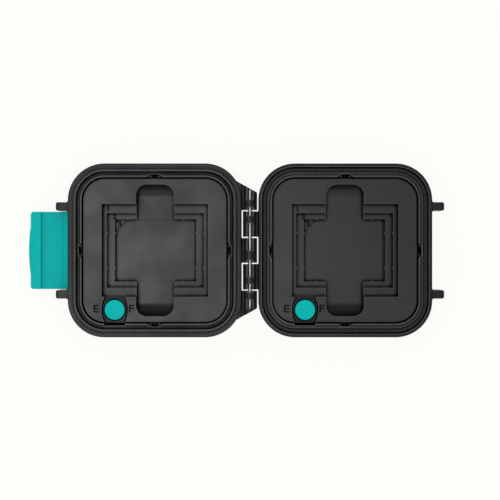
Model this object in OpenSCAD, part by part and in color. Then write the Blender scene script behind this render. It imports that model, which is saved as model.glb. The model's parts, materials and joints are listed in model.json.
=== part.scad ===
// Hinged hard case for memory cards, lying open flat with both backs on the surface.
// Base on the left (-X), lid on the right (+X), hinge axis along Y.
// The origin is the centre of the base's back face, +Z up, millimetres.

/* [Case halves] */
// Side of each square half, over the rim flange
case_side = 71; // [66:0.5:78]
// Corner radius of the rim flange, seen from above
corner_r = 15; // [12:0.5:17]
// Height of one half, from its back face to its rim
half_h = 13; // [12.5:0.25:16]
// Height of the rim flange
flange_h = 3.2; // [2.8:0.1:3.6]
// How far the side wall is set in under the rim flange
wall_in = 1.6; // [1.4:0.1:1.8]
// Thickness of the side wall
wall_t = 1.6; // [1.2:0.1:2]
// Thickness of the back
floor_t = 1.8; // [1.4:0.1:2.2]
// Radius of the edge between the back and the side wall
back_edge_r = 4; // [3:0.25:5]
// Draft angle of the side wall
draft = 2; // [1:0.5:3]
// Radius on the outer edge of the rim flange
flange_edge_r = 0.4; // [0.2:0.1:0.6]

/* [Rim] */
// Distance from the flange edge to the tongue on the base's rim
tongue_in = 2.55; // [2.3:0.05:2.7]
// Thickness of the tongue
tongue_w = 0.6; // [0.5:0.05:0.8]
// Height of the tongue above the rim
tongue_h = 0.7; // [0.5:0.05:0.9]
// Width of the groove outside the tongue
groove_w = 0.5; // [0.3:0.05:0.6]
// Depth of the groove outside the tongue
groove_d = 0.6; // [0.4:0.1:0.8]
// Distance from the flange edge to the inner edge of the rim
band_in = 5.5; // [5.3:0.1:5.8]
// Width of the raised lip along the inner edge of the rim
lip_w = 0.5; // [0.4:0.05:0.7]
// How far the lip lies below the rim
lip_drop = 0.3; // [0.2:0.1:0.5]
// How far the ledge beside the lip lies below the rim
ledge_drop = 0.8; // [0.6:0.1:1]

/* [Gasket] */
// Distance from the flange edge to the gasket channel in the lid's rim
channel_in = 1.35; // [1.2:0.05:1.5]
// Width of the gasket channel
channel_w = 2.45; // [2.3:0.05:2.6]
// Depth of the gasket channel
channel_d = 2; // [1.6:0.1:2.4]
// Width of the rubber gasket
gasket_w = 1.85; // [1.6:0.05:2]
// Clearance between the gasket and the outer wall of its channel
gasket_gap = 0.25; // [0.1:0.05:0.3]
// Clearance between the tongue's tip and the gasket, case closed
seal_clear = 0.2; // [0.1:0.05:0.3]

/* [Hinge] */
// Distance from the flange edge to the hinge axis
hinge_out = 3.4; // [3.2:0.05:3.8]
// Gap between the two rims when the case is closed
rim_gap = 0.2; // [0.1:0.05:0.4]
// Radius of the hinge barrel
barrel_r = 2.9; // [2.7:0.05:3]
// Length of the hinge over its five knuckles
hinge_len = 47; // [44:0.5:48]
// Length of the middle knuckle, gaps included
mid_len = 10.6; // [10:0.1:12]
// Length of each of the lid's two knuckles, gaps included
side_len = 10.9; // [10:0.1:11.5]
// Gap between neighbouring knuckles
knuckle_gap = 0.5; // [0.3:0.05:0.7]
// Diameter of the steel hinge pin
pin_d = 1.5; // [1.3:0.05:1.6]
// Width of the open windows over the hinge pin
window_w = 2.3; // [2.1:0.05:2.5]
// Length of the closed bridge over the pin in each outer knuckle
bridge_len = 2.9; // [2.4:0.1:3.4]
// Length of the bridge in the middle knuckle
mid_bridge_len = 3.9; // [2.4:0.1:4.2]
// Width of the valley between the barrel and the web behind it
valley_w = 0.5; // [0.3:0.05:0.6]
// Depth of that valley below the hinge axis
valley_d = 0.9; // [0.5:0.1:1.4]
// Angle of the slanted ends of the base's hinge block
hinge_slant = 30; // [25:1:35]

/* [Latch] */
// Width of the latch
latch_w = 31.9; // [27.9:0.5:33.9]
// How far the latch's tip reaches past the catch face of its hook
latch_tip = 4.45; // [3.6:0.05:5]
// Thickness of the latch plate
latch_t = 2; // [1.6:0.1:2.4]
// Distance from the flange edge to the latch pin
latch_out = 0.8; // [0.7:0.05:1]
// Height of the latch pin above the back
latch_z = 5.5; // [5:0.1:6]
// Radius of the latch's round hinge edge
latch_knuckle_r = 2; // [1.8:0.05:2.1]
// Clearance between the closed latch plate and the flange edge
latch_clear = 0.4; // [0.3:0.05:0.5]
// How far the closed hook reaches over the lid's flange
hook_grip = 1.2; // [0.9:0.05:1.3]
// Width of the hook's crest
hook_w = 1.3; // [0.8:0.05:1.4]
// Width of the finger lip at the latch's tip
finger_w = 19; // [16:0.5:24]
// How far the finger lip stands out from the tip
finger_out = 0.9; // [0.6:0.1:1.2]
// Diameter of the latch pin
latch_pin_d = 1.5; // [1.2:0.05:1.8]
// Clearance between the latch and each ear
ear_clear = 0.25; // [0.2:0.05:0.6]
// Thickness of each ear
ear_t = 3.5; // [3:0.1:4]
// How far the ears stand out from the flange edge
ear_out = 5; // [4.4:0.1:5.2]
// Radius of the ears' lower corner
ear_r = 3.3; // [2.6:0.1:3.4]
// Radius of the fillets at the root of each ear
ear_root_r = 0.7; // [0.4:0.1:0.8]

/* [Tray] */
// Gap between the rim's inner edge and the tray
tray_gap = 0.5; // [0.4:0.05:0.6]
// How far the tray's face lies below the rim
tray_drop = 1; // [0.9:0.1:1.2]
// Wall thickness of the tray
tray_t = 1.2; // [1:0.1:1.4]
// Radius on the upper edge of the tray
tray_edge_r = 0.4; // [0.2:0.1:0.5]
// Distance from the tray's edge to the outer pocket, along X
outer_in_x = 7.7; // [7.4:0.1:8]
// Distance from the tray's edge to the outer pocket, along Y
outer_in_y = 10.5; // [10.4:0.1:11]
// Depth of the outer pocket
outer_d = 3.5; // [3.3:0.1:3.6]
// Width of the ledge between the outer and middle pockets, along X
middle_in_x = 1.85; // [1.6:0.05:2.3]
// Width of that ledge along Y
middle_in_y = 3.65; // [3.3:0.05:3.9]
// Depth of the middle pocket, from the tray's face
middle_d = 5.1; // [4.9:0.1:5.3]
// Width of the ledge between the middle and inner pockets, along X
inner_in_x = 3.15; // [2.7:0.05:3.5]
// Width of that ledge along Y
inner_in_y = 2.45; // [2:0.05:2.8]
// Depth of the inner pocket, from the tray's face
inner_d = 7.2; // [6.8:0.1:7.4]
// Width of the finger trough, along X
trough_x = 15.5; // [14:0.5:18]
// Distance from the tray's edge to each end of the trough
trough_margin = 2.5; // [2.3:0.1:3.5]
// Radius of the trough's corners, seen from above
trough_r = 4.5; // [4:0.25:5.5]
// Radius of the scooped ends of the trough
scoop_r = 5.75; // [4:0.25:6]
// How far the trough's floor lies above the inner pocket's floor
trough_rise = 0.2; // [0.1:0.05:0.5]
// Thickness of the two ribs that stand the tray on the shell's floor
foot_t = 1.2; // [1:0.1:1.6]
// Radius of the small ribs that grip a card's edge
nib_r = 0.7; // [0.5:0.05:0.9]
// How far these ribs stand out from the pocket's wall
nib_out = 0.35; // [0.2:0.05:0.45]
// Distance of the inner pocket's end ribs from the middle, along X
nib_x = 11.5; // [10:0.5:13]
// Distance of the pockets' side ribs from the middle, along Y
nib_y = 7.1; // [5:0.5:9]

// Leg of the raised corner that fits a card's clipped corner
key_leg = 5; // [4:0.1:5.4]
// Height of that corner above the inner pocket's floor
key_h = 0.7; // [0.4:0.1:1.5]

/* [Snap tabs] */
// Width of the open slot over each of the tray's tabs
notch_w = 3; // [2.6:0.1:3.6]
// Depth of that slot into the rim
notch_d = 1; // [0.8:0.1:1.1]
// Width of the flared recess round that slot, at the rim's inner edge
flare_w = 7; // [6:0.2:8]
// Depth of that recess below the rim
flare_drop = 1.3; // [1.1:0.1:1.6]
// How far that recess runs out past the slot
flare_past = 0.2; // [0.1:0.05:0.3]
// Width of each tab on the tray
tab_w = 6.2; // [5.4:0.1:7]
// Thickness of each tab
tab_t = 0.9; // [0.7:0.05:1]
// Clearance between a tab and the rim above it
tab_clear = 0.2; // [0.1:0.05:0.3]

/* [Card markers] */
// Distance from the outer pocket's left edge to the marker's middle
marker_in = 5.4; // [5.2:0.1:7]
// Length of the rocker plate, along Y
rocker_len = 9.5; // [9.1:0.1:9.6]
// Width of the rocker plate at its middle
rocker_w = 9.7; // [9.4:0.1:10.2]
// Width of the rocker plate at its two ends
rocker_end_w = 7.6; // [7.4:0.1:8.4]
// Thickness of the rocker plate
rocker_t = 1.2; // [1:0.1:1.4]
// Depth of the marker's well below the tray's face
well_d = 2.7; // [2.5:0.1:3]
// Clearance round the rocker plate
rocker_clear = 0.55; // [0.4:0.05:0.6]
// Height of the tilt axis below the tray's face
rocker_axis_d = 2; // [1.8:0.1:2.2]
// Radius of the rocker's round keel
keel_r = 1; // [0.8:0.05:1.1]
// Diameter of the coloured disc
disc_d = 8.2; // [7.6:0.1:8.3]
// How far the disc stands above the rocker plate
disc_up = 0.5; // [0.3:0.1:0.6]
// Width of the dark groove round the disc
disc_groove = 0.35; // [0.2:0.05:0.4]

/* [Fits] */
// Radial clearance of a pin that turns
run_fit = 0.05; // [0.03:0.01:0.08]
// Radial clearance of a pin that is pressed in
press_fit = 0.01; // [0.01:0.01:0.02]

/* [Hidden] */
$fn = 72;

// How far a cut runs past the face that it opens
past = 1;

// Heights in each half
flange_z = half_h - flange_h;
hinge_z = half_h + rim_gap / 2;
tray_z = half_h - tray_drop;
core = case_side - 2 * corner_r;

// Places of the hinge and the lid
edge_x = case_side / 2;
hinge_x = edge_x + hinge_out;
lid_x = 2 * hinge_x;

// Knuckle borders from -Y to +Y: base, lid, base, lid, base
side_y = mid_len / 2 + side_len;
knuckle_y = [-hinge_len / 2, -side_y, -mid_len / 2, mid_len / 2, side_y, hinge_len / 2];
bridge_shift = [1.3, -1.5, -2, 1.8, -0.8];
bridge_lap = 0.25;
web_drop = 0.25;
web_foot = 2.8;
web_root = 2.2;
web_tip = 0.4;
valley_x = barrel_r - 0.15;
bite = 0.05;
pin_y0 = -hinge_len / 2 - 0.1;
pin_y1 = hinge_len / 2 + 1.1;
block_y = hinge_len / 2 + (hinge_out + barrel_r + web_root) * tan(hinge_slant);

// Latch: the catch face grips the back of the lid's flange when closed
hook_clear = 0.05;
closed_flange_z = 2 * hinge_z - flange_z;
hook_u = closed_flange_z - latch_z + hook_clear;
latch_x = -edge_x - latch_out;
plate_top = latch_out - latch_clear;
hook_top = latch_out + hook_grip;
tip_u = hook_u + latch_tip;
ear_y = latch_w / 2 + ear_clear;
ear_top = half_h - 0.2;
tip_corner_r = 1.2;

// Tray
skirt_z = flange_z - tab_clear - tab_t - 0.1;
tray_side = case_side - 2 * (band_in + tray_gap);
tray_r = corner_r - band_in - tray_gap;
outer_x = tray_side - 2 * outer_in_x;
outer_y = tray_side - 2 * outer_in_y;
middle_x = outer_x - 2 * middle_in_x;
middle_y = outer_y - 2 * middle_in_y;
inner_x = middle_x - 2 * inner_in_x;
inner_y = middle_y - 2 * inner_in_y;
trough_y = tray_side - 2 * trough_margin;
trough_z = tray_z - inner_d + trough_rise;

// Card marker, measured from the middle of its half
marker_x = marker_in - outer_x / 2;
rocker_top_y = -outer_y / 2 - rocker_clear;
marker_y = rocker_top_y - rocker_len / 2;
rocker_axis_z = tray_z - rocker_axis_d;
well_floor_z = tray_z - well_d;
cradle_t = 0.7;
cradle_wrap = 0.35;
cradle_len = rocker_len - 2;
disc_edge_r = 0.4;
rocker_side_r = (rocker_len * rocker_len / 4 + pow((rocker_w - rocker_end_w) / 2, 2))
    / (rocker_w - rocker_end_w);

// Square with round corners, centred
module round_square(side, r) {
    square([side, side - 2 * r], center = true);
    square([side - 2 * r, side], center = true);
    for (sx = [-1, 1], sy = [-1, 1])
        translate([sx * (side / 2 - r), sy * (side / 2 - r)]) circle(r);
}

// Rectangle with round corners, centred
module round_rect(x, y, r) {
    square([x, y - 2 * r], center = true);
    square([x - 2 * r, y], center = true);
    for (sx = [-1, 1], sy = [-1, 1])
        translate([sx * (x / 2 - r), sy * (y / 2 - r)]) circle(r);
}

// Solid inside a line that runs a given distance in from the flange edge
module inset_prism(inset, z0, z1) {
    translate([0, 0, z0])
        linear_extrude(z1 - z0) round_square(case_side - 2 * inset, corner_r - inset);
}

// Ring between two such lines
module inset_ring(inset0, inset1, z0, z1) {
    translate([0, 0, z0]) linear_extrude(z1 - z0) difference() {
        round_square(case_side - 2 * inset0, corner_r - inset0);
        round_square(case_side - 2 * inset1, corner_r - inset1);
    }
}

// Block between two corners
module box(x0, x1, y0, y1, z0, z1) {
    translate([x0, y0, z0]) cube([x1 - x0, y1 - y0, z1 - z0]);
}

// Sweeps a half profile round the case: a quarter turn at each corner, straight between
module swept(height) {
    for (i = [0:3]) rotate(90 * i) {
        translate([core / 2, core / 2, 0]) rotate_extrude(angle = 90) children();
        translate([core / 2, core / 2, 0]) rotate([90, 0, 0]) linear_extrude(core) children();
    }
    box(-core / 2, core / 2, -core / 2, core / 2, height[0], height[1]);
}

// Half profile of a bowl: flat back, round edge, drafted wall up to top_x
module bowl_profile(top_x, z0, z1, r) {
    foot_x = top_x - (z1 - z0) * tan(draft);
    centre_x = foot_x + r * tan(draft) - r / cos(draft);
    polygon([
        [0, z0],
        [centre_x, z0],
        [centre_x + r * cos(draft), z0 + r - r * sin(draft)],
        [top_x, z1],
        [0, z1]
    ]);
    translate([centre_x, z0 + r]) circle(r);
}

// Half profile of a plate with a round upper edge
module plate_profile(x, z0, z1, edge_r) {
    translate([0, z0]) square([x - edge_r, z1 - z0]);
    translate([0, z0]) square([x, z1 - z0 - edge_r]);
    translate([x - edge_r, z1 - edge_r]) circle(edge_r);
}

// One half without its rim details: flange, drafted wall, round back edge
module half_body() {
    swept([0, flange_z]) bowl_profile(corner_r - wall_in, 0, flange_z, back_edge_r);
    swept([flange_z, half_h]) plate_profile(corner_r, flange_z, half_h, flange_edge_r);
}

// The hollow inside one half
module half_hollow() {
    swept([floor_t, flange_z])
        bowl_profile(corner_r - wall_in - wall_t, floor_t, flange_z, back_edge_r - wall_t);
    inset_prism(band_in, flange_z - past, half_h + past);
}

// Slots in the rim over the tray's tabs, each in a flared recess, and the slot at the marker's foot
module rim_slots() {
    lip_y = edge_x - band_in;
    flare_y = lip_y + notch_d + flare_past;
    for (i = [0:3]) rotate(90 * i) {
        box(-notch_w / 2, notch_w / 2, lip_y - past, lip_y + notch_d, flange_z - past, half_h + past);
        translate([0, 0, half_h - flare_drop]) linear_extrude(flare_drop + past) polygon([
            [-flare_w / 2, lip_y - past],
            [-flare_w / 2, lip_y],
            [-notch_w / 2, flare_y],
            [notch_w / 2, flare_y],
            [flare_w / 2, lip_y],
            [flare_w / 2, lip_y - past]
        ]);
    }
    slot_w = rocker_end_w / 2 + rocker_clear;
    slot_d = notch_d * 0.75;
    box(marker_x - slot_w, marker_x + slot_w,
        -edge_x + band_in - slot_d, -edge_x + band_in + past,
        flange_z - past, half_h + past);
}

// One knuckle round the hinge axis, carried by a web on its -X side
module knuckle(y0, y1) {
    translate([0, y0, 0]) rotate([-90, 0, 0]) cylinder(r = barrel_r, h = y1 - y0);
    translate([0, y1, 0]) rotate([90, 0, 0]) linear_extrude(y1 - y0) polygon([
        [-hinge_out - wall_in - web_root, -web_drop],
        [-web_tip, -web_drop],
        [-web_tip, -barrel_r + bite],
        [-hinge_out - wall_in, -barrel_r - web_foot],
        [-hinge_out - wall_in - web_root, -barrel_r - web_foot]
    ]);
}

// Valley between the barrel and its web
module valley(y0, y1) {
    box(-valley_x, -valley_x + valley_w, y0, y1, -valley_d, barrel_r + past);
}

// Bore for the pin in knuckle i, windows above it, and relief below its bridge
module knuckle_cuts(i, y0, y1, fit) {
    bridge_y = (knuckle_y[i] + knuckle_y[i + 1]) / 2 + bridge_shift[i];
    len = i == 2 ? mid_bridge_len : bridge_len;
    b0 = bridge_y - len / 2;
    b1 = bridge_y + len / 2;
    translate([0, y0, 0]) rotate([-90, 0, 0]) cylinder(d = pin_d + 2 * fit, h = y1 - y0);
    box(-window_w / 2, window_w / 2, y0, b0, 0, barrel_r + past);
    box(-window_w / 2, window_w / 2, b1, y1, 0, barrel_r + past);
    box(-window_w / 2, window_w / 2, b0 + bridge_lap, b1 - bridge_lap, -barrel_r - past, 0);
}

// The base's three knuckles, with the slanted outline of the hinge block
module base_hinge() {
    half_gap = knuckle_gap / 2;
    root_x = -hinge_out - web_root;
    intersection() {
        union() {
            knuckle(-block_y, knuckle_y[1] - half_gap);
            knuckle(knuckle_y[2] + half_gap, knuckle_y[3] - half_gap);
            knuckle(knuckle_y[4] + half_gap, block_y);
        }
        translate([0, 0, -half_h]) linear_extrude(2 * half_h) polygon([
            [barrel_r + bite, -hinge_len / 2],
            [barrel_r + bite, hinge_len / 2],
            [root_x, block_y],
            [root_x, -block_y]
        ]);
    }
}

module base_hinge_cuts() {
    knuckle_cuts(0, pin_y0, knuckle_y[1], press_fit);
    knuckle_cuts(2, knuckle_y[2], knuckle_y[3], press_fit);
    knuckle_cuts(4, knuckle_y[4], block_y, press_fit);
    valley(-block_y, knuckle_y[1]);
    valley(knuckle_y[2], knuckle_y[3]);
    valley(knuckle_y[4], block_y);
}

// The lid's two knuckles, with their web on the +X side
module lid_hinge() {
    half_gap = knuckle_gap / 2;
    mirror([1, 0, 0]) for (i = [1, 3])
        knuckle(knuckle_y[i] + half_gap, knuckle_y[i + 1] - half_gap);
}

module lid_hinge_cuts() {
    for (i = [1, 3]) {
        knuckle_cuts(i, knuckle_y[i], knuckle_y[i + 1], run_fit);
        mirror([1, 0, 0]) valley(knuckle_y[i], knuckle_y[i + 1]);
    }
}

// Side view of an ear: straight front, big round lower corner, small upper one
module ear_profile() {
    top_r = 1;
    root = wall_in + wall_t * 0.6;
    translate([-root, latch_z]) square([root + ear_out, ear_top - top_r - latch_z]);
    translate([-root, latch_z]) square([root + ear_out - top_r, ear_top - latch_z]);
    translate([ear_out - top_r, ear_top - top_r]) circle(top_r);
    translate([ear_out - ear_r, latch_z]) circle(ear_r);
    translate([-root, latch_z - ear_r]) square([root + ear_out - ear_r, ear_r + past]);
}

// Plan of an ear: rounded tip
module ear_plan() {
    tip_r = 1;
    root = wall_in + wall_t;
    translate([-root, -ear_t / 2]) square([root + ear_out - tip_r, ear_t]);
    translate([-root, -ear_t / 2 + tip_r]) square([root + ear_out, ear_t - 2 * tip_r]);
    for (s = [-1, 1]) translate([ear_out - tip_r, s * (ear_t / 2 - tip_r)]) circle(tip_r);
}

// Fillets where an ear grows out of the rim flange
module ear_fillets() {
    r = ear_root_r;
    translate([0, 0, flange_z]) linear_extrude(ear_top - flange_z) difference() {
        translate([-r, -ear_t / 2 - r]) square([2 * r, ear_t + 2 * r]);
        for (s = [-1, 1]) translate([r, s * (ear_t / 2 + r)]) circle(r);
    }
}

// The two ears that stand out on the +X side of a half
module ears() {
    for (s = [-1, 1]) translate([edge_x, s * (ear_y + ear_t / 2), 0]) {
        intersection() {
            translate([0, ear_t / 2, 0]) rotate([90, 0, 0]) linear_extrude(ear_t) ear_profile();
            linear_extrude(half_h) ear_plan();
        }
        ear_fillets();
    }
}

module base_shell() {
    color("#232427") difference() {
        union() {
            half_body();
            inset_ring(tongue_in, tongue_in + tongue_w, flange_z + past, half_h + tongue_h);
            translate([hinge_x, 0, hinge_z]) base_hinge();
            mirror([1, 0, 0]) ears();
        }
        half_hollow();
        inset_ring(tongue_in - groove_w, tongue_in, half_h - groove_d, half_h + past);
        inset_ring(tongue_in + tongue_w, band_in - lip_w, half_h - ledge_drop, half_h + past);
        inset_ring(band_in - lip_w, band_in + past, half_h - lip_drop, half_h + past);
        rim_slots();
        translate([hinge_x, 0, hinge_z]) base_hinge_cuts();
        translate([latch_x, 0, latch_z]) rotate([90, 0, 0])
            cylinder(d = latch_pin_d + 2 * press_fit, h = 2 * (ear_y + ear_t + past), center = true);
    }
}

module lid_shell() {
    band_out = channel_in + channel_w;
    band_drop = ledge_drop * 0.6;
    translate([lid_x, 0, 0]) color("#232427") difference() {
        union() {
            half_body();
            translate([-hinge_x, 0, hinge_z]) lid_hinge();
            ears();
        }
        half_hollow();
        inset_ring(channel_in, band_out, half_h - channel_d, half_h + past);
        inset_ring(band_out - bite, band_in - lip_w, half_h - band_drop, half_h + past);
        inset_ring(band_in - lip_w, band_in + past, half_h - lip_drop, half_h + past);
        rim_slots();
        translate([-hinge_x, 0, hinge_z]) lid_hinge_cuts();
    }
}

// Rubber seal in the lid's channel; the closed base's tongue meets its crown
module lid_gasket() {
    gasket_in = channel_in + gasket_gap;
    gasket_z = half_h - channel_d;
    gasket_top = half_h + rim_gap - tongue_h - seal_clear;
    translate([lid_x, 0, 0]) color("#1d1e20")
        inset_ring(gasket_in, gasket_in + gasket_w, gasket_z, gasket_top);
}

// Finger trough: round corners from above, scooped ends from the side
module trough_form(grow, z0, z1) {
    y = trough_y / 2 + grow;
    r = scoop_r + grow;
    intersection() {
        translate([0, 0, z0]) linear_extrude(z1 - z0)
            round_rect(trough_x + 2 * grow, trough_y + 2 * grow, trough_r + grow);
        translate([-trough_x, 0, z0]) rotate([90, 0, 90]) linear_extrude(2 * trough_x) {
            translate([-y + r, 0]) square([2 * (y - r), r + past]);
            translate([-y, r]) square([2 * y, z1 - z0 - r]);
            for (s = [-1, 1]) translate([s * (y - r), r]) circle(r);
        }
    }
}

// Ribs along the trough's two sides, down to the floor of the shell
module trough_feet() {
    y = trough_y / 2 - scoop_r;
    for (s = [-1, 1])
        box(s * trough_x / 2 - foot_t / 2, s * trough_x / 2 + foot_t / 2, -y, y,
            floor_t, trough_z - tray_t / 2);
}

// A pocket's block, from a depth below the tray's face up to the face
module pocket_form(x, y, depth, grow, top) {
    box(-x / 2 - grow, x / 2 + grow, -y / 2 - grow, y / 2 + grow, tray_z - depth - grow, top);
}

// Outline of the rocker plate, or of its well: bowed sides, flat ends
module rocker_outline(grow) {
    bow = rocker_side_r + grow;
    shift = rocker_side_r - rocker_w / 2;
    intersection() {
        square([rocker_w + 2 * grow + 2, rocker_len + 2 * grow], center = true);
        translate([shift, 0]) circle(bow, $fn = 180);
        translate([-shift, 0]) circle(bow, $fn = 180);
    }
}

// Ribs that grip the edges of a card
module nibs() {
    sunk = nib_r - nib_out;
    for (s = [-1, 1], t = [-1, 1]) {
        translate([s * nib_x, t * (inner_y / 2 + sunk), tray_z - inner_d - tray_t / 2])
            cylinder(r = nib_r, h = inner_d - middle_d + tray_t / 2);
        translate([t * (inner_x / 2 + sunk), s * nib_y, tray_z - inner_d - tray_t / 2])
            cylinder(r = nib_r, h = inner_d - middle_d + tray_t / 2);
        translate([t * (middle_x / 2 + sunk), s * nib_y, tray_z - middle_d - tray_t / 2])
            cylinder(r = nib_r, h = middle_d - outer_d + tray_t / 2);
    }
}

// Raised corner of the inner pocket, cut off at 45 degrees as a card's clipped corner is
module key_corner() {
    x = -inner_x / 2 - tray_t / 2;
    y = inner_y / 2 + tray_t / 2;
    leg = key_leg + tray_t;
    translate([0, 0, tray_z - inner_d - tray_t / 2]) linear_extrude(key_h + tray_t / 2)
        polygon([[x, y], [x + leg, y], [x, y - leg]]);
}

// Snap tabs on the tray's skirt, one at the middle of each side
module snap_tabs() {
    tab_top = flange_z - tab_clear;
    tab_y = tray_side / 2 + tray_gap + notch_d * 0.8;
    for (i = [0:3]) rotate(90 * i)
        box(-tab_w / 2, tab_w / 2, tray_side / 2 - tray_t / 2, tab_y, tab_top - tab_t, tab_top);
}

// Half profile of the tray's face and skirt
module tray_profile() {
    plate_profile(tray_r, tray_z - tray_t, tray_z, tray_edge_r);
    translate([tray_r - tray_t, skirt_z]) square([tray_t, tray_z - tray_edge_r - skirt_z]);
}

// One moulded tray: face, skirt, three nested pockets, trough, marker well
module tray() {
    well_w = rocker_w / 2 + rocker_clear + tray_t;
    under = tray_z - tray_t / 2;
    color("#2b2c2f") {
        difference() {
            union() {
                swept([tray_z - tray_t, tray_z]) tray_profile();
                pocket_form(outer_x, outer_y, outer_d, tray_t, under);
                pocket_form(middle_x, middle_y, middle_d, tray_t, under);
                pocket_form(inner_x, inner_y, inner_d, tray_t, under);
                trough_form(tray_t, trough_z - tray_t, under);
                trough_feet();
                intersection() {
                    box(marker_x - well_w, marker_x + well_w, -tray_side / 2, -outer_y / 2,
                        well_floor_z - tray_t, under);
                    translate([0, 0, floor_t]) linear_extrude(half_h)
                        round_square(tray_side, tray_r);
                }
                snap_tabs();
            }
            pocket_form(outer_x, outer_y, outer_d, 0, half_h);
            pocket_form(middle_x, middle_y, middle_d, 0, half_h);
            pocket_form(inner_x, inner_y, inner_d, 0, half_h);
            trough_form(0, trough_z, half_h);
            marker_well();
            cradle_bore();
        }
        nibs();
        key_corner();
        cradle();
    }
}

// The well is open to the pocket above it and over the tray's edge below it
module marker_well() {
    end_w = rocker_end_w / 2 + rocker_clear;
    translate([marker_x, marker_y, well_floor_z]) linear_extrude(half_h)
        rocker_outline(rocker_clear);
    box(marker_x - end_w, marker_x + end_w, marker_y, -outer_y / 2 + past, well_floor_z, half_h);
    box(marker_x - end_w, marker_x + end_w, -tray_side / 2 - 2 * past, marker_y, well_floor_z, half_h);
}

// Round bed of the rocker's keel
module cradle_bore() {
    translate([marker_x, marker_y, rocker_axis_z]) rotate([90, 0, 0])
        cylinder(r = keel_r + run_fit, h = cradle_len + past, center = true);
}

// Snap-in cradle in which the rocker's keel turns; its lips close over the keel
module cradle() {
    cradle_w = keel_r + cradle_t;
    difference() {
        translate([marker_x, marker_y, 0])
            box(-cradle_w, cradle_w, -cradle_len / 2, cradle_len / 2,
                well_floor_z - tray_t / 2, rocker_axis_z + cradle_wrap);
        cradle_bore();
    }
}

// Rocker plate with its keel, and the seat of the disc
module rocker() {
    keel_len = rocker_len - 3;
    neck = keel_r * 0.6;
    translate([marker_x, marker_y, 0]) color("#2b2c2f") difference() {
        union() {
            translate([0, 0, tray_z - rocker_t]) linear_extrude(rocker_t) rocker_outline(0);
            translate([0, 0, rocker_axis_z]) rotate([90, 0, 0])
                cylinder(r = keel_r, h = keel_len, center = true);
            box(-neck, neck, -keel_len / 2, keel_len / 2, rocker_axis_z, tray_z - rocker_t / 2);
        }
        translate([0, 0, tray_z - rocker_t / 2])
            cylinder(d = disc_d + 2 * disc_groove, h = rocker_t);
    }
}

// Coloured disc with a rounded edge, seated in the rocker plate
module disc() {
    seat_z = tray_z - rocker_t / 2;
    top_z = tray_z + disc_up;
    e = disc_edge_r;
    translate([marker_x, marker_y, seat_z]) color("#14b8ad") rotate_extrude() {
        square([disc_d / 2 - e, top_z - seat_z]);
        square([disc_d / 2, top_z - seat_z - e]);
        translate([disc_d / 2 - e, top_z - seat_z - e]) intersection() {
            circle(e);
            square(e + past);
        }
    }
}

module base_tray() {
    tray();
}

module lid_tray() {
    translate([lid_x, 0, 0]) tray();
}

module base_marker_rocker() {
    rocker();
}

module base_marker_disc() {
    disc();
}

module lid_marker_rocker() {
    translate([lid_x, 0, 0]) rocker();
}

module lid_marker_disc() {
    translate([lid_x, 0, 0]) disc();
}

module hinge_pin() {
    translate([hinge_x, pin_y0, hinge_z]) color("#c9c9cc") rotate([-90, 0, 0])
        cylinder(d = pin_d, h = pin_y1 - pin_y0);
}

// Side view of the latch, pin at the origin, tip towards +x, inner face up
module latch_profile() {
    bottom = plate_top - latch_t;
    dip = plate_top - 0.3;
    dip_u = [3, hook_u - 4.5];
    hook_foot = 1.7;
    flare = 0.6;
    bevel = 0.4;
    lip_t = flare + bevel;
    circle(latch_knuckle_r);
    polygon([
        [0, bottom],
        [tip_u - bevel - 2 * flare, bottom],
        [tip_u - bevel, bottom - flare],
        [tip_u + finger_out, bottom - flare],
        [tip_u + finger_out, bottom - flare + lip_t],
        [tip_u, bottom + bevel],
        [tip_u, plate_top - bevel / 2],
        [tip_u - bevel, plate_top],
        [hook_u + hook_w + hook_foot, plate_top],
        [hook_u + hook_w, hook_top],
        [hook_u, hook_top],
        [hook_u, dip],
        [dip_u[1], dip],
        [dip_u[0], plate_top],
        [0, plate_top]
    ]);
}

// Plan of the latch: round tip corners and the shallow bow of the finger lip
module latch_plan() {
    r = tip_corner_r;
    step = 0.3;
    bow = finger_out - step;
    bow_r = (finger_w * finger_w / 4 + bow * bow) / (2 * bow);
    translate([-latch_knuckle_r, -latch_w / 2]) square([latch_knuckle_r + tip_u - r, latch_w]);
    translate([-latch_knuckle_r, -latch_w / 2 + r])
        square([latch_knuckle_r + tip_u, latch_w - 2 * r]);
    for (s = [-1, 1]) translate([tip_u - r, s * (latch_w / 2 - r)]) circle(r);
    intersection() {
        translate([0, -finger_w / 2]) square([tip_u + finger_out, finger_w]);
        translate([tip_u + finger_out - bow_r, 0]) circle(bow_r, $fn = 360);
    }
}

module latch() {
    translate([latch_x, 0, latch_z]) mirror([1, 0, 0]) color("#0fb0ac") difference() {
        intersection() {
            translate([0, latch_w / 2, 0]) rotate([90, 0, 0]) linear_extrude(latch_w) latch_profile();
            translate([0, 0, -half_h]) linear_extrude(2 * half_h) latch_plan();
        }
        rotate([90, 0, 0])
            cylinder(d = latch_pin_d + 2 * run_fit, h = latch_w + 2 * past, center = true);
    }
}

module latch_pin() {
    translate([latch_x, 0, latch_z]) color("#c9c9cc") rotate([90, 0, 0])
        cylinder(d = latch_pin_d, h = 2 * (ear_y + ear_t) - 0.2, center = true);
}

base_shell();
lid_shell();
base_tray();
lid_tray();
lid_gasket();
hinge_pin();
latch();
latch_pin();
base_marker_rocker();
base_marker_disc();
lid_marker_rocker();
lid_marker_disc();
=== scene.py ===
"""Looks of the memory card case: edges, finishes, lettering, light and camera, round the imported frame."""

import json
import math

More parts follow.
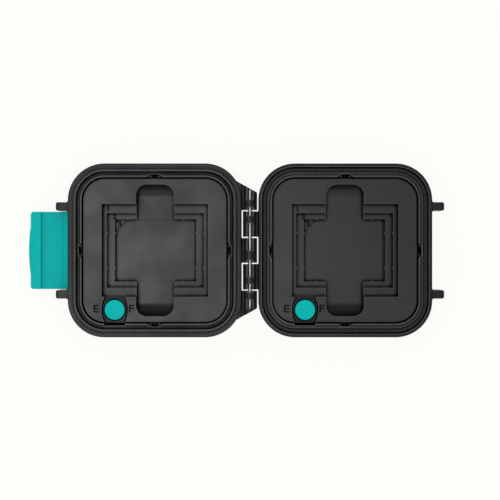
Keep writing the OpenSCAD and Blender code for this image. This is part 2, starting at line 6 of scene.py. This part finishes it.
import bpy
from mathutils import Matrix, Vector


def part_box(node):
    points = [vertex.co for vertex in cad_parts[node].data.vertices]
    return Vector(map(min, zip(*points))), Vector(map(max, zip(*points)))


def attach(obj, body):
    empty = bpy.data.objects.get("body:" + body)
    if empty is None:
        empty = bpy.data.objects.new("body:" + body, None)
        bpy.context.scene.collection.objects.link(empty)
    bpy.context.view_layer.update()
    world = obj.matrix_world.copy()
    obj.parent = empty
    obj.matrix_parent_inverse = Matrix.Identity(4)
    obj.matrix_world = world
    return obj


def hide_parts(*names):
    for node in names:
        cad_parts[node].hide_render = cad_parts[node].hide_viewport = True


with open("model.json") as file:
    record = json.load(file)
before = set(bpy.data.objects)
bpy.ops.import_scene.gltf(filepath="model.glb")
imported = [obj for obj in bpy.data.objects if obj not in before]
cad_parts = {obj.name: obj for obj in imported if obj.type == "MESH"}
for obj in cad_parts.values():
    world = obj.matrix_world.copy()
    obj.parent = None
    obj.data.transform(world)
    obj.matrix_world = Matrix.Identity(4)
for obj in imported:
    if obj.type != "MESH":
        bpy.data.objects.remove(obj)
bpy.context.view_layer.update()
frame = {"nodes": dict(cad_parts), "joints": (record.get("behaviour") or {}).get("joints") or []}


# Sizes and places, in metres, read from the frame

MM = 0.001

joint_places = {joint["name"]: joint["pos_m"] for joint in frame["joints"]}
hinge_x = joint_places["lid_hinge"][0]
tray_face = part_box("base_tray")[1][2]
disc_low, disc_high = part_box("base_marker_disc")
disc_x = (disc_low[0] + disc_high[0]) / 2
disc_y = (disc_low[1] + disc_high[1]) / 2
lid_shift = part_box("lid_marker_disc")[0][0] - disc_low[0]

# Each half's name, and how far along x it lies from the base
HALVES = (("base", 0.0), ("lid", lid_shift))


# Modelling helpers

WELD_DISTANCE = 0.001 * MM
FLAT_ANGLE = math.radians(0.4)
SHARP_ANGLE = math.radians(32)
NORMAL_WEIGHT = 80

# The built-in font's capitals stand this share of its size high
CAPITAL_SHARE = 0.73
LETTER_ROUNDING = 0.02 * MM


def pick(piece):
    """Makes a piece the only one selected, and the active one."""
    if bpy.context.mode != "OBJECT":
        bpy.ops.object.mode_set(mode="OBJECT")
    bpy.ops.object.select_all(action="DESELECT")
    piece.select_set(True)
    bpy.context.view_layer.objects.active = piece


def apply_modifier(piece, kind, **settings):
    """Adds a modifier with its settings and applies it to the mesh."""
    pick(piece)
    modifier = piece.modifiers.new(kind.title(), kind)
    for key, value in settings.items():
        setattr(modifier, key, value)
    bpy.ops.object.modifier_apply(modifier=modifier.name)


def moulding(node, name, body, edge):
    """A piece in its node's place: its flats made whole, and every sharp edge rounded by edge."""
    piece = frame["nodes"][node].copy()
    piece.data = piece.data.copy()
    piece.name = name
    piece.parent = None
    bpy.context.scene.collection.objects.link(piece)
    pick(piece)
    bpy.ops.mesh.customdata_custom_splitnormals_clear()
    bpy.ops.object.mode_set(mode="EDIT")
    bpy.ops.mesh.select_all(action="SELECT")
    bpy.ops.mesh.remove_doubles(threshold=WELD_DISTANCE)
    bpy.ops.mesh.dissolve_limited(angle_limit=FLAT_ANGLE)
    bpy.ops.object.mode_set(mode="OBJECT")
    apply_modifier(piece, "BEVEL", width=edge, segments=2, limit_method="ANGLE",
                   angle_limit=SHARP_ANGLE, use_clamp_overlap=True)
    bpy.ops.object.shade_smooth_by_angle(angle=SHARP_ANGLE)
    apply_modifier(piece, "WEIGHTED_NORMAL", mode="FACE_AREA", weight=NORMAL_WEIGHT, keep_sharp=True)
    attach(piece, body)
    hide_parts(node)
    return piece


def lettering(text, name, body, height, place, relief, width, thinner=0.0):
    """Moulded-in lettering whose lower half is sunk in the face it stands on.

    The place is its middle, on that face. The strokes lose the length thinner on each
    side, and then the whole is stretched sideways by the factor width.
    """
    bpy.ops.object.text_add(location=(0, 0, 0))
    piece = bpy.context.object
    piece.name = name
    piece.data.body = text
    piece.data.align_x = "CENTER"
    piece.data.align_y = "CENTER"
    piece.data.size = height / CAPITAL_SHARE
    piece.data.extrude = relief / 2
    piece.data.bevel_depth = LETTER_ROUNDING
    piece.data.offset = -thinner
    pick(piece)
    bpy.ops.object.convert(target="MESH")
    piece.location = place
    piece.scale = (width, 1, 1)
    bpy.ops.object.transform_apply(location=True, rotation=True, scale=True)
    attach(piece, body)
    return piece


# Material helpers

AO_SAMPLES = 8

ABS_IOR = 1.53
RUBBER_IOR = 1.5

# Nearly all of a noise node's values lie between these
NOISE_LOW = 0.3
NOISE_HIGH = 0.7


def linear(hex_colour):
    """Turns an sRGB hex value to linear colour with full alpha."""
    channels = [int(hex_colour[i:i + 2], 16) / 255 for i in (1, 3, 5)]
    return [c / 12.92 if c <= 0.04045 else ((c + 0.055) / 1.055) ** 2.4 for c in channels] + [1]


def add_node(tree, kind, settings=(), inputs=()):
    """Adds a node, with its settings and its inputs: a value, or the output that feeds it."""
    new = tree.nodes.new(kind)
    for key, value in dict(settings).items():
        setattr(new, key, value)
    for key, value in dict(inputs).items():
        if isinstance(value, bpy.types.NodeSocket):
            tree.links.new(value, new.inputs[key])
        else:
            new.inputs[key].default_value = value
    return new


def new_material(name):
    """An empty node material, its tree, and its output node."""
    material = bpy.data.materials.new(name)
    material.use_nodes = True
    tree = material.node_tree
    tree.nodes.clear()
    return material, tree, tree.nodes.new("ShaderNodeOutputMaterial")


def noise_span(tree, noise, low, high):
    """A noise stretched to run from low to high."""
    span = add_node(tree, "ShaderNodeMapRange", {}, {
        "Value": noise.outputs["Fac"], "From Min": NOISE_LOW, "From Max": NOISE_HIGH,
        "To Min": low, "To Max": high})
    return span.outputs["Result"]


def corner_shade(tree, reach, dark_at, clear_at, darkest):
    """Painted shade: runs from darkest in an inner corner to 1 where nothing within reach hides the sky.

    The darkest is met where the share of open sky is dark_at, and 1 where it is clear_at.
    """
    open_sky = add_node(tree, "ShaderNodeAmbientOcclusion", {"samples": AO_SAMPLES}, {"Distance": reach})
    shade = add_node(tree, "ShaderNodeMapRange", {}, {
        "Value": open_sky.outputs["AO"], "From Min": dark_at, "From Max": clear_at,
        "To Min": darkest, "To Max": 1.0})
    return shade.outputs["Result"]


def shaded_skin(tree, out, colour, shade, shine, dim_sheen, inputs):
    """Ends a material in a skin whose colour is darkened by the painted corner shade, and its sheen too if
    asked.
    """
    # Painted shade: the colour is darkened in inner corners
    shaded_colour = add_node(tree, "ShaderNodeMixRGB", {"blend_type": "MULTIPLY"}, {
        "Fac": 1.0, "Color1": colour, "Color2": shade})
    skin = add_node(tree, "ShaderNodeBsdfPrincipled", {}, {
        "Base Color": shaded_colour.outputs["Color"], "Specular IOR Level": shine, **inputs})
    if dim_sheen:
        # Painted shade on the reflection: the sheen is dimmed in inner corners
        sheen = add_node(tree, "ShaderNodeMath", {"operation": "MULTIPLY"}, {0: shade, 1: shine})
        tree.links.new(sheen.outputs[0], skin.inputs["Specular IOR Level"])
    tree.links.new(skin.outputs["BSDF"], out.inputs["Surface"])


# Materials

def moulded_plastic(name, colour, pale, roughness, grain, depth, shine, edge, reach=1.3 * MM,
                    dark_at=0.56, clear_at=0.92, darkest=0.05, dim_sheen=True):
    """Injection-moulded ABS from a spark-textured mould.

    To the eye: an even satin skin whose fine grain breaks up reflections, with slow
    changes of tone where the melt flowed. Painted shade darkens inner corners, and
    their sheen too if dim_sheen is set, and a painted highlight pales outer edges.

    The texture's size is grain and its height is depth. Shine is the level of the sheen,
    and edge the share of the painted highlight that pales outer edges.
    """
    flow_size = 14 * MM
    grain_swing = 0.06
    flow_swing = 0.07
    # The painted highlight on outer edges: its width, and the openness from inside where it begins and is
    # full
    highlight_width = 0.22 * MM
    highlight_begins = 0.8
    highlight_full = 0.4
    highlight_tone = [min(1, c * 3 + 0.4) for c in linear(pale)[:3]] + [1]
    material, tree, out = new_material(name)
    place = add_node(tree, "ShaderNodeTexCoord").outputs["Object"]
    # Painted shade in inner corners, for the colour and the sheen
    shade = corner_shade(tree, reach, dark_at, clear_at, darkest)
    # Painted highlight: outer edges, found by occlusion from inside, turn paler
    inside = add_node(tree, "ShaderNodeAmbientOcclusion", {
        "samples": AO_SAMPLES, "inside": True, "only_local": True}, {"Distance": highlight_width})
    edge_highlight = add_node(tree, "ShaderNodeMapRange", {}, {
        "Value": inside.outputs["AO"], "From Min": highlight_begins, "From Max": highlight_full,
        "To Min": 0.0, "To Max": edge})
    fine = add_node(tree, "ShaderNodeTexNoise", {}, {
        "Vector": place, "Scale": 1 / grain, "Detail": 3, "Roughness": 0.6})
    flow = add_node(tree, "ShaderNodeTexNoise", {}, {
        "Vector": place, "Scale": 1 / flow_size, "Detail": 2, "Roughness": 0.5})
    tone = add_node(tree, "ShaderNodeMixRGB", {}, {
        "Fac": flow.outputs["Fac"], "Color1": linear(colour), "Color2": linear(pale)})
    # Painted highlight mixed into the tone along outer edges
    highlighted = add_node(tree, "ShaderNodeMixRGB", {}, {
        "Fac": edge_highlight.outputs["Result"], "Color1": tone.outputs["Color"], "Color2": highlight_tone})
    gloss = add_node(tree, "ShaderNodeMath", {"operation": "ADD"}, {
        0: noise_span(tree, fine, roughness - grain_swing, roughness + grain_swing),
        1: noise_span(tree, flow, -flow_swing, flow_swing)})
    bump = add_node(tree, "ShaderNodeBump", {}, {
        "Height": fine.outputs["Fac"], "Distance": depth, "Strength": 0.6})
    shaded_skin(tree, out, highlighted.outputs["Color"], shade, shine, dim_sheen, {
        "Roughness": gloss.outputs[0], "IOR": ABS_IOR, "Normal": bump.outputs["Normal"]})
    return material


def ground_steel(name):
    """Centreless-ground stainless steel wire, cut to length.

    To the eye: a bright neutral metal with hair-fine rings round the pin.
    """
    ring_width = 0.15 * MM
    along_ring = 0.05
    material, tree, out = new_material(name)
    place = add_node(tree, "ShaderNodeTexCoord").outputs["Object"]
    rings = add_node(tree, "ShaderNodeMapping", {}, {
        "Vector": place, "Scale": (along_ring, 1, along_ring)})
    lines = add_node(tree, "ShaderNodeTexNoise", {}, {
        "Vector": rings.outputs["Vector"], "Scale": 1 / ring_width, "Detail": 2})
    bump = add_node(tree, "ShaderNodeBump", {}, {
        "Height": lines.outputs["Fac"], "Distance": 0.004 * MM, "Strength": 0.5})
    metal = add_node(tree, "ShaderNodeBsdfPrincipled", {}, {
        "Base Color": linear("#DAD8D8"), "Metallic": 1.0,
        "Roughness": noise_span(tree, lines, low=0.42, high=0.58),
        "Normal": bump.outputs["Normal"]})
    tree.links.new(metal.outputs["BSDF"], out.inputs["Surface"])
    return material


def seal_rubber(name):
    """Compression-moulded EPDM rubber.

    To the eye: a dull, slightly dusty black with no grain. Painted shade darkens
    both borders where it meets its channel, and dims its sheen there.
    """
    speck_size = 1.2 * MM
    material, tree, out = new_material(name)
    place = add_node(tree, "ShaderNodeTexCoord").outputs["Object"]
    # Painted shade along the borders, for the colour and the sheen
    shade = corner_shade(tree, reach=1.2 * MM, dark_at=0.8, clear_at=0.98, darkest=0.05)
    dust = add_node(tree, "ShaderNodeTexNoise", {}, {
        "Vector": place, "Scale": 1 / speck_size, "Detail": 4})
    tone = add_node(tree, "ShaderNodeMixRGB", {}, {
        "Fac": dust.outputs["Fac"], "Color1": linear("#121314"), "Color2": linear("#1B1C1D")})
    bump = add_node(tree, "ShaderNodeBump", {}, {
        "Height": dust.outputs["Fac"], "Distance": 0.02 * MM, "Strength": 0.4})
    shaded_skin(tree, out, tone.outputs["Color"], shade, shine=0.36, dim_sheen=True, inputs={
        "Roughness": 0.62, "IOR": RUBBER_IOR, "Normal": bump.outputs["Normal"]})
    return material


# The shells: the coarsest grain, a strong painted highlight on the rims' edges, and painted shade in their
# corners
shell_black = moulded_plastic(
    "grained_black_abs", "#0A0B0D", "#0F1113", roughness=0.36, grain=0.35 * MM, depth=0.012 * MM,
    shine=0.27, edge=0.9, reach=1.5 * MM, dark_at=0.73, clear_at=0.96)

# The trays: smoother and a little greyer, with painted shade in soft dark lines along the pocket walls
tray_black = moulded_plastic(
    "satin_black_abs", "#111415", "#181B1C", roughness=0.36, grain=0.3 * MM, depth=0.006 * MM,
    shine=0.41, edge=0.35, reach=1.9 * MM)

# The rocker plates: nearly full black and fine, so the disc stands out
rocker_black = moulded_plastic(
    "fine_black_abs", "#060607", "#0A0A0B", roughness=0.34, grain=0.3 * MM, depth=0.003 * MM,
    shine=0.18, edge=0.1)

# Letters and numbers: dull, so they read darker than the face they stand on
letter_black = moulded_plastic(
    "matt_black_abs", "#050505", "#08090A", roughness=0.6, grain=0.3 * MM, depth=0.003 * MM,
    shine=0.08, edge=0.0)

# The latch: flat bright teal with hardly any sheen
latch_teal = moulded_plastic(
    "teal_abs", "#00AFAB", "#00B6B2", roughness=0.42, grain=0.35 * MM, depth=0.008 * MM,
    shine=0.06, edge=0.06, darkest=0.9, dim_sheen=False)

# The discs: the same teal, smoother
disc_teal = moulded_plastic(
    "polished_teal_abs", "#00ACA8", "#00B3AF", roughness=0.34, grain=0.3 * MM, depth=0.003 * MM,
    shine=0.05, edge=0.08, darkest=0.6, dim_sheen=False)

pin_steel = ground_steel("ground_stainless_steel")
gasket_rubber = seal_rubber("black_epdm_rubber")


# Pieces

def paint(piece, material):
    """Gives a piece its one material."""
    piece.data.materials.clear()
    piece.data.materials.append(material)


def dress(node, name, body, edge, material):
    """Makes a node's finished piece, with its edges rounded by edge in mm, and paints it."""
    paint(moulding(node, name, body, edge * MM), material)


def marker_letters(side, shift):
    """E for empty and F for full, left and right of a half's disc."""
    y = disc_y + 0.3 * MM
    for text, step in (("E", -7.6 * MM), ("F", 6.8 * MM)):
        place = (disc_x + shift + step, y, tray_face)
        letter = lettering(text, side + "_letter_" + text, side, height=3.2 * MM, place=place,
                           relief=0.3 * MM, width=1.35, thinner=0.07 * MM)
        paint(letter, letter_black)


def pocket_numbers(side, shift):
    """Plain numbers that tell a half's three nested pockets apart, largest first."""
    # Number, its height, its x and y, and its ledge's height over the back, in mm
    places = (("1", 2.2, -19.4, 17.0, 8.5), ("2", 2.0, -16.9, 13.85, 6.9), ("3", 2.0, -14.9, 10.9, 5.5))
    for text, height, x, y, ledge in places:
        place = (x * MM + shift, y * MM, ledge * MM)
        number = lettering(text, side + "_pocket_number_" + text, side, height=height * MM, place=place,
                           relief=0.24 * MM, width=1.2)
        paint(number, letter_black)


for side, shift in HALVES:
    dress(side + "_shell", side + "_case_shell", side, 0.18, shell_black)
    dress(side + "_tray", side + "_card_tray", side, 0.14, tray_black)

for side, shift in HALVES:
    marker = side + "_marker"
    dress(marker + "_rocker", side + "_rocker_plate", marker, 0.12, rocker_black)
    dress(marker + "_disc", side + "_teal_disc", marker, 0.1, disc_teal)

for side, shift in HALVES:
    marker_letters(side, shift)

for side, shift in HALVES:
    pocket_numbers(side, shift)

dress("lid_gasket", "rubber_seal", "lid", 0.3, gasket_rubber)
dress("latch", "teal_latch", "latch", 0.4, latch_teal)
dress("hinge_pin", "steel_hinge_pin", "base", 0.2, pin_steel)
dress("latch_pin", "steel_latch_pin", "base", 0.2, pin_steel)


# Stage, light and camera

STUDIO_WHITE = "#FEFFFB"


def either(tree, first, second):
    """The larger of two values: 1 for a ray of one kind or the other."""
    return add_node(tree, "ShaderNodeMath", {"operation": "MAXIMUM"}, {0: first, 1: second}).outputs[0]


def studio_floor():
    """A pale sweep: nearly plain white to the camera and in reflections, with a soft shadow kept."""
    floor_side = 6
    plain_share = 0.93
    bpy.ops.mesh.primitive_plane_add(size=floor_side, location=(hinge_x, 0, 0))
    floor = bpy.context.object
    floor.name = "studio_floor"
    material, tree, out = new_material("matt_white_paper")
    rays = add_node(tree, "ShaderNodeLightPath").outputs
    camera_or_glossy = either(tree, rays["Is Camera Ray"], rays["Is Glossy Ray"])
    seen = either(tree, camera_or_glossy, rays["Is Transmission Ray"])
    share = add_node(tree, "ShaderNodeMath", {"operation": "MULTIPLY"}, {0: seen, 1: plain_share})
    paper = add_node(tree, "ShaderNodeBsdfDiffuse", {}, {"Color": linear("#F4F5F1")})
    glow = add_node(tree, "ShaderNodeEmission", {}, {"Color": linear(STUDIO_WHITE), "Strength": 1.0})
    mix = add_node(tree, "ShaderNodeMixShader", {}, {
        0: share.outputs[0], 1: paper.outputs[0], 2: glow.outputs[0]})
    tree.links.new(mix.outputs[0], out.inputs["Surface"])
    floor.data.materials.append(material)


def white_room():
    """Soft light from all round, seen as plain white.

    In reflections the room is a little cool, brightest overhead towards the front, and
    falls off to a dim far side, which gives the black faces their slow gradient.
    """
    brightest_way = (-0.2, -0.5, 0.84)
    soft_light = 0.86
    dim_side = 0.28
    bright_side = 0.85
    fade_low = 0.25
    fade_high = 0.95
    world = bpy.data.worlds.new("white_room")
    bpy.context.scene.world = world
    world.use_nodes = True
    tree = world.node_tree
    tree.nodes.clear()
    rays = add_node(tree, "ShaderNodeLightPath").outputs
    seen = either(tree, rays["Is Camera Ray"], rays["Is Transmission Ray"])
    direction = add_node(tree, "ShaderNodeTexCoord").outputs["Generated"]
    nearness = add_node(tree, "ShaderNodeVectorMath", {"operation": "DOT_PRODUCT"}, {
        0: direction, 1: brightest_way})
    reflected = add_node(tree, "ShaderNodeMapRange", {"interpolation_type": "SMOOTHSTEP"}, {
        "Value": nearness.outputs["Value"], "From Min": fade_low, "From Max": fade_high,
        "To Min": dim_side, "To Max": bright_side})
    level = add_node(tree, "ShaderNodeMapRange", {}, {
        "Value": rays["Is Glossy Ray"], "To Min": soft_light, "To Max": reflected.outputs["Result"]})
    tint = add_node(tree, "ShaderNodeMixRGB", {}, {
        "Fac": rays["Is Glossy Ray"], "Color1": linear("#FFFFFF"), "Color2": linear("#F1F8FF")})
    room = add_node(tree, "ShaderNodeBackground", {}, {
        "Color": tint.outputs["Color"], "Strength": level.outputs["Result"]})
    white = add_node(tree, "ShaderNodeBackground", {}, {"Color": linear(STUDIO_WHITE), "Strength": 1.0})
    mix = add_node(tree, "ShaderNodeMixShader", {}, {0: seen, 1: room.outputs[0], 2: white.outputs[0]})
    out = add_node(tree, "ShaderNodeOutputWorld")
    tree.links.new(mix.outputs[0], out.inputs["Surface"])


def softbox(name, place, target, size, power):
    """A square softbox that faces its target."""
    bpy.ops.object.light_add(type="AREA", location=place)
    lamp = bpy.context.object
    lamp.name = name
    lamp.data.shape = "SQUARE"
    lamp.data.size = size
    lamp.data.energy = power
    direction = [t - p for t, p in zip(target, place)]
    flat = math.hypot(direction[0], direction[1])
    lamp.rotation_euler = (math.atan2(flat, -direction[2]), 0,
                           math.atan2(direction[1], direction[0]) - math.pi / 2)


def camera():
    """Straight down on the open case, with the photo's scale where the rims are."""
    height = 0.6
    rim_height = 0.0125
    photo_scale = 0.40834 * MM
    photo_side = 500
    sensor = 36
    centre_y = 0.16 * MM
    bpy.ops.object.camera_add(location=(hinge_x, centre_y, height), rotation=(0, 0, 0))
    eye = bpy.context.object
    eye.data.sensor_width = sensor
    eye.data.lens = sensor * (height - rim_height) / (photo_scale * photo_side)
    eye.data.clip_start = 0.01
    bpy.context.scene.camera = eye


studio_floor()
white_room()
softbox("key_softbox", place=(hinge_x - 0.12, -0.03, 0.6), target=(hinge_x, 0, 0), size=0.25, power=0.6)
camera()
bpy.context.scene.view_settings.view_transform = "Standard"
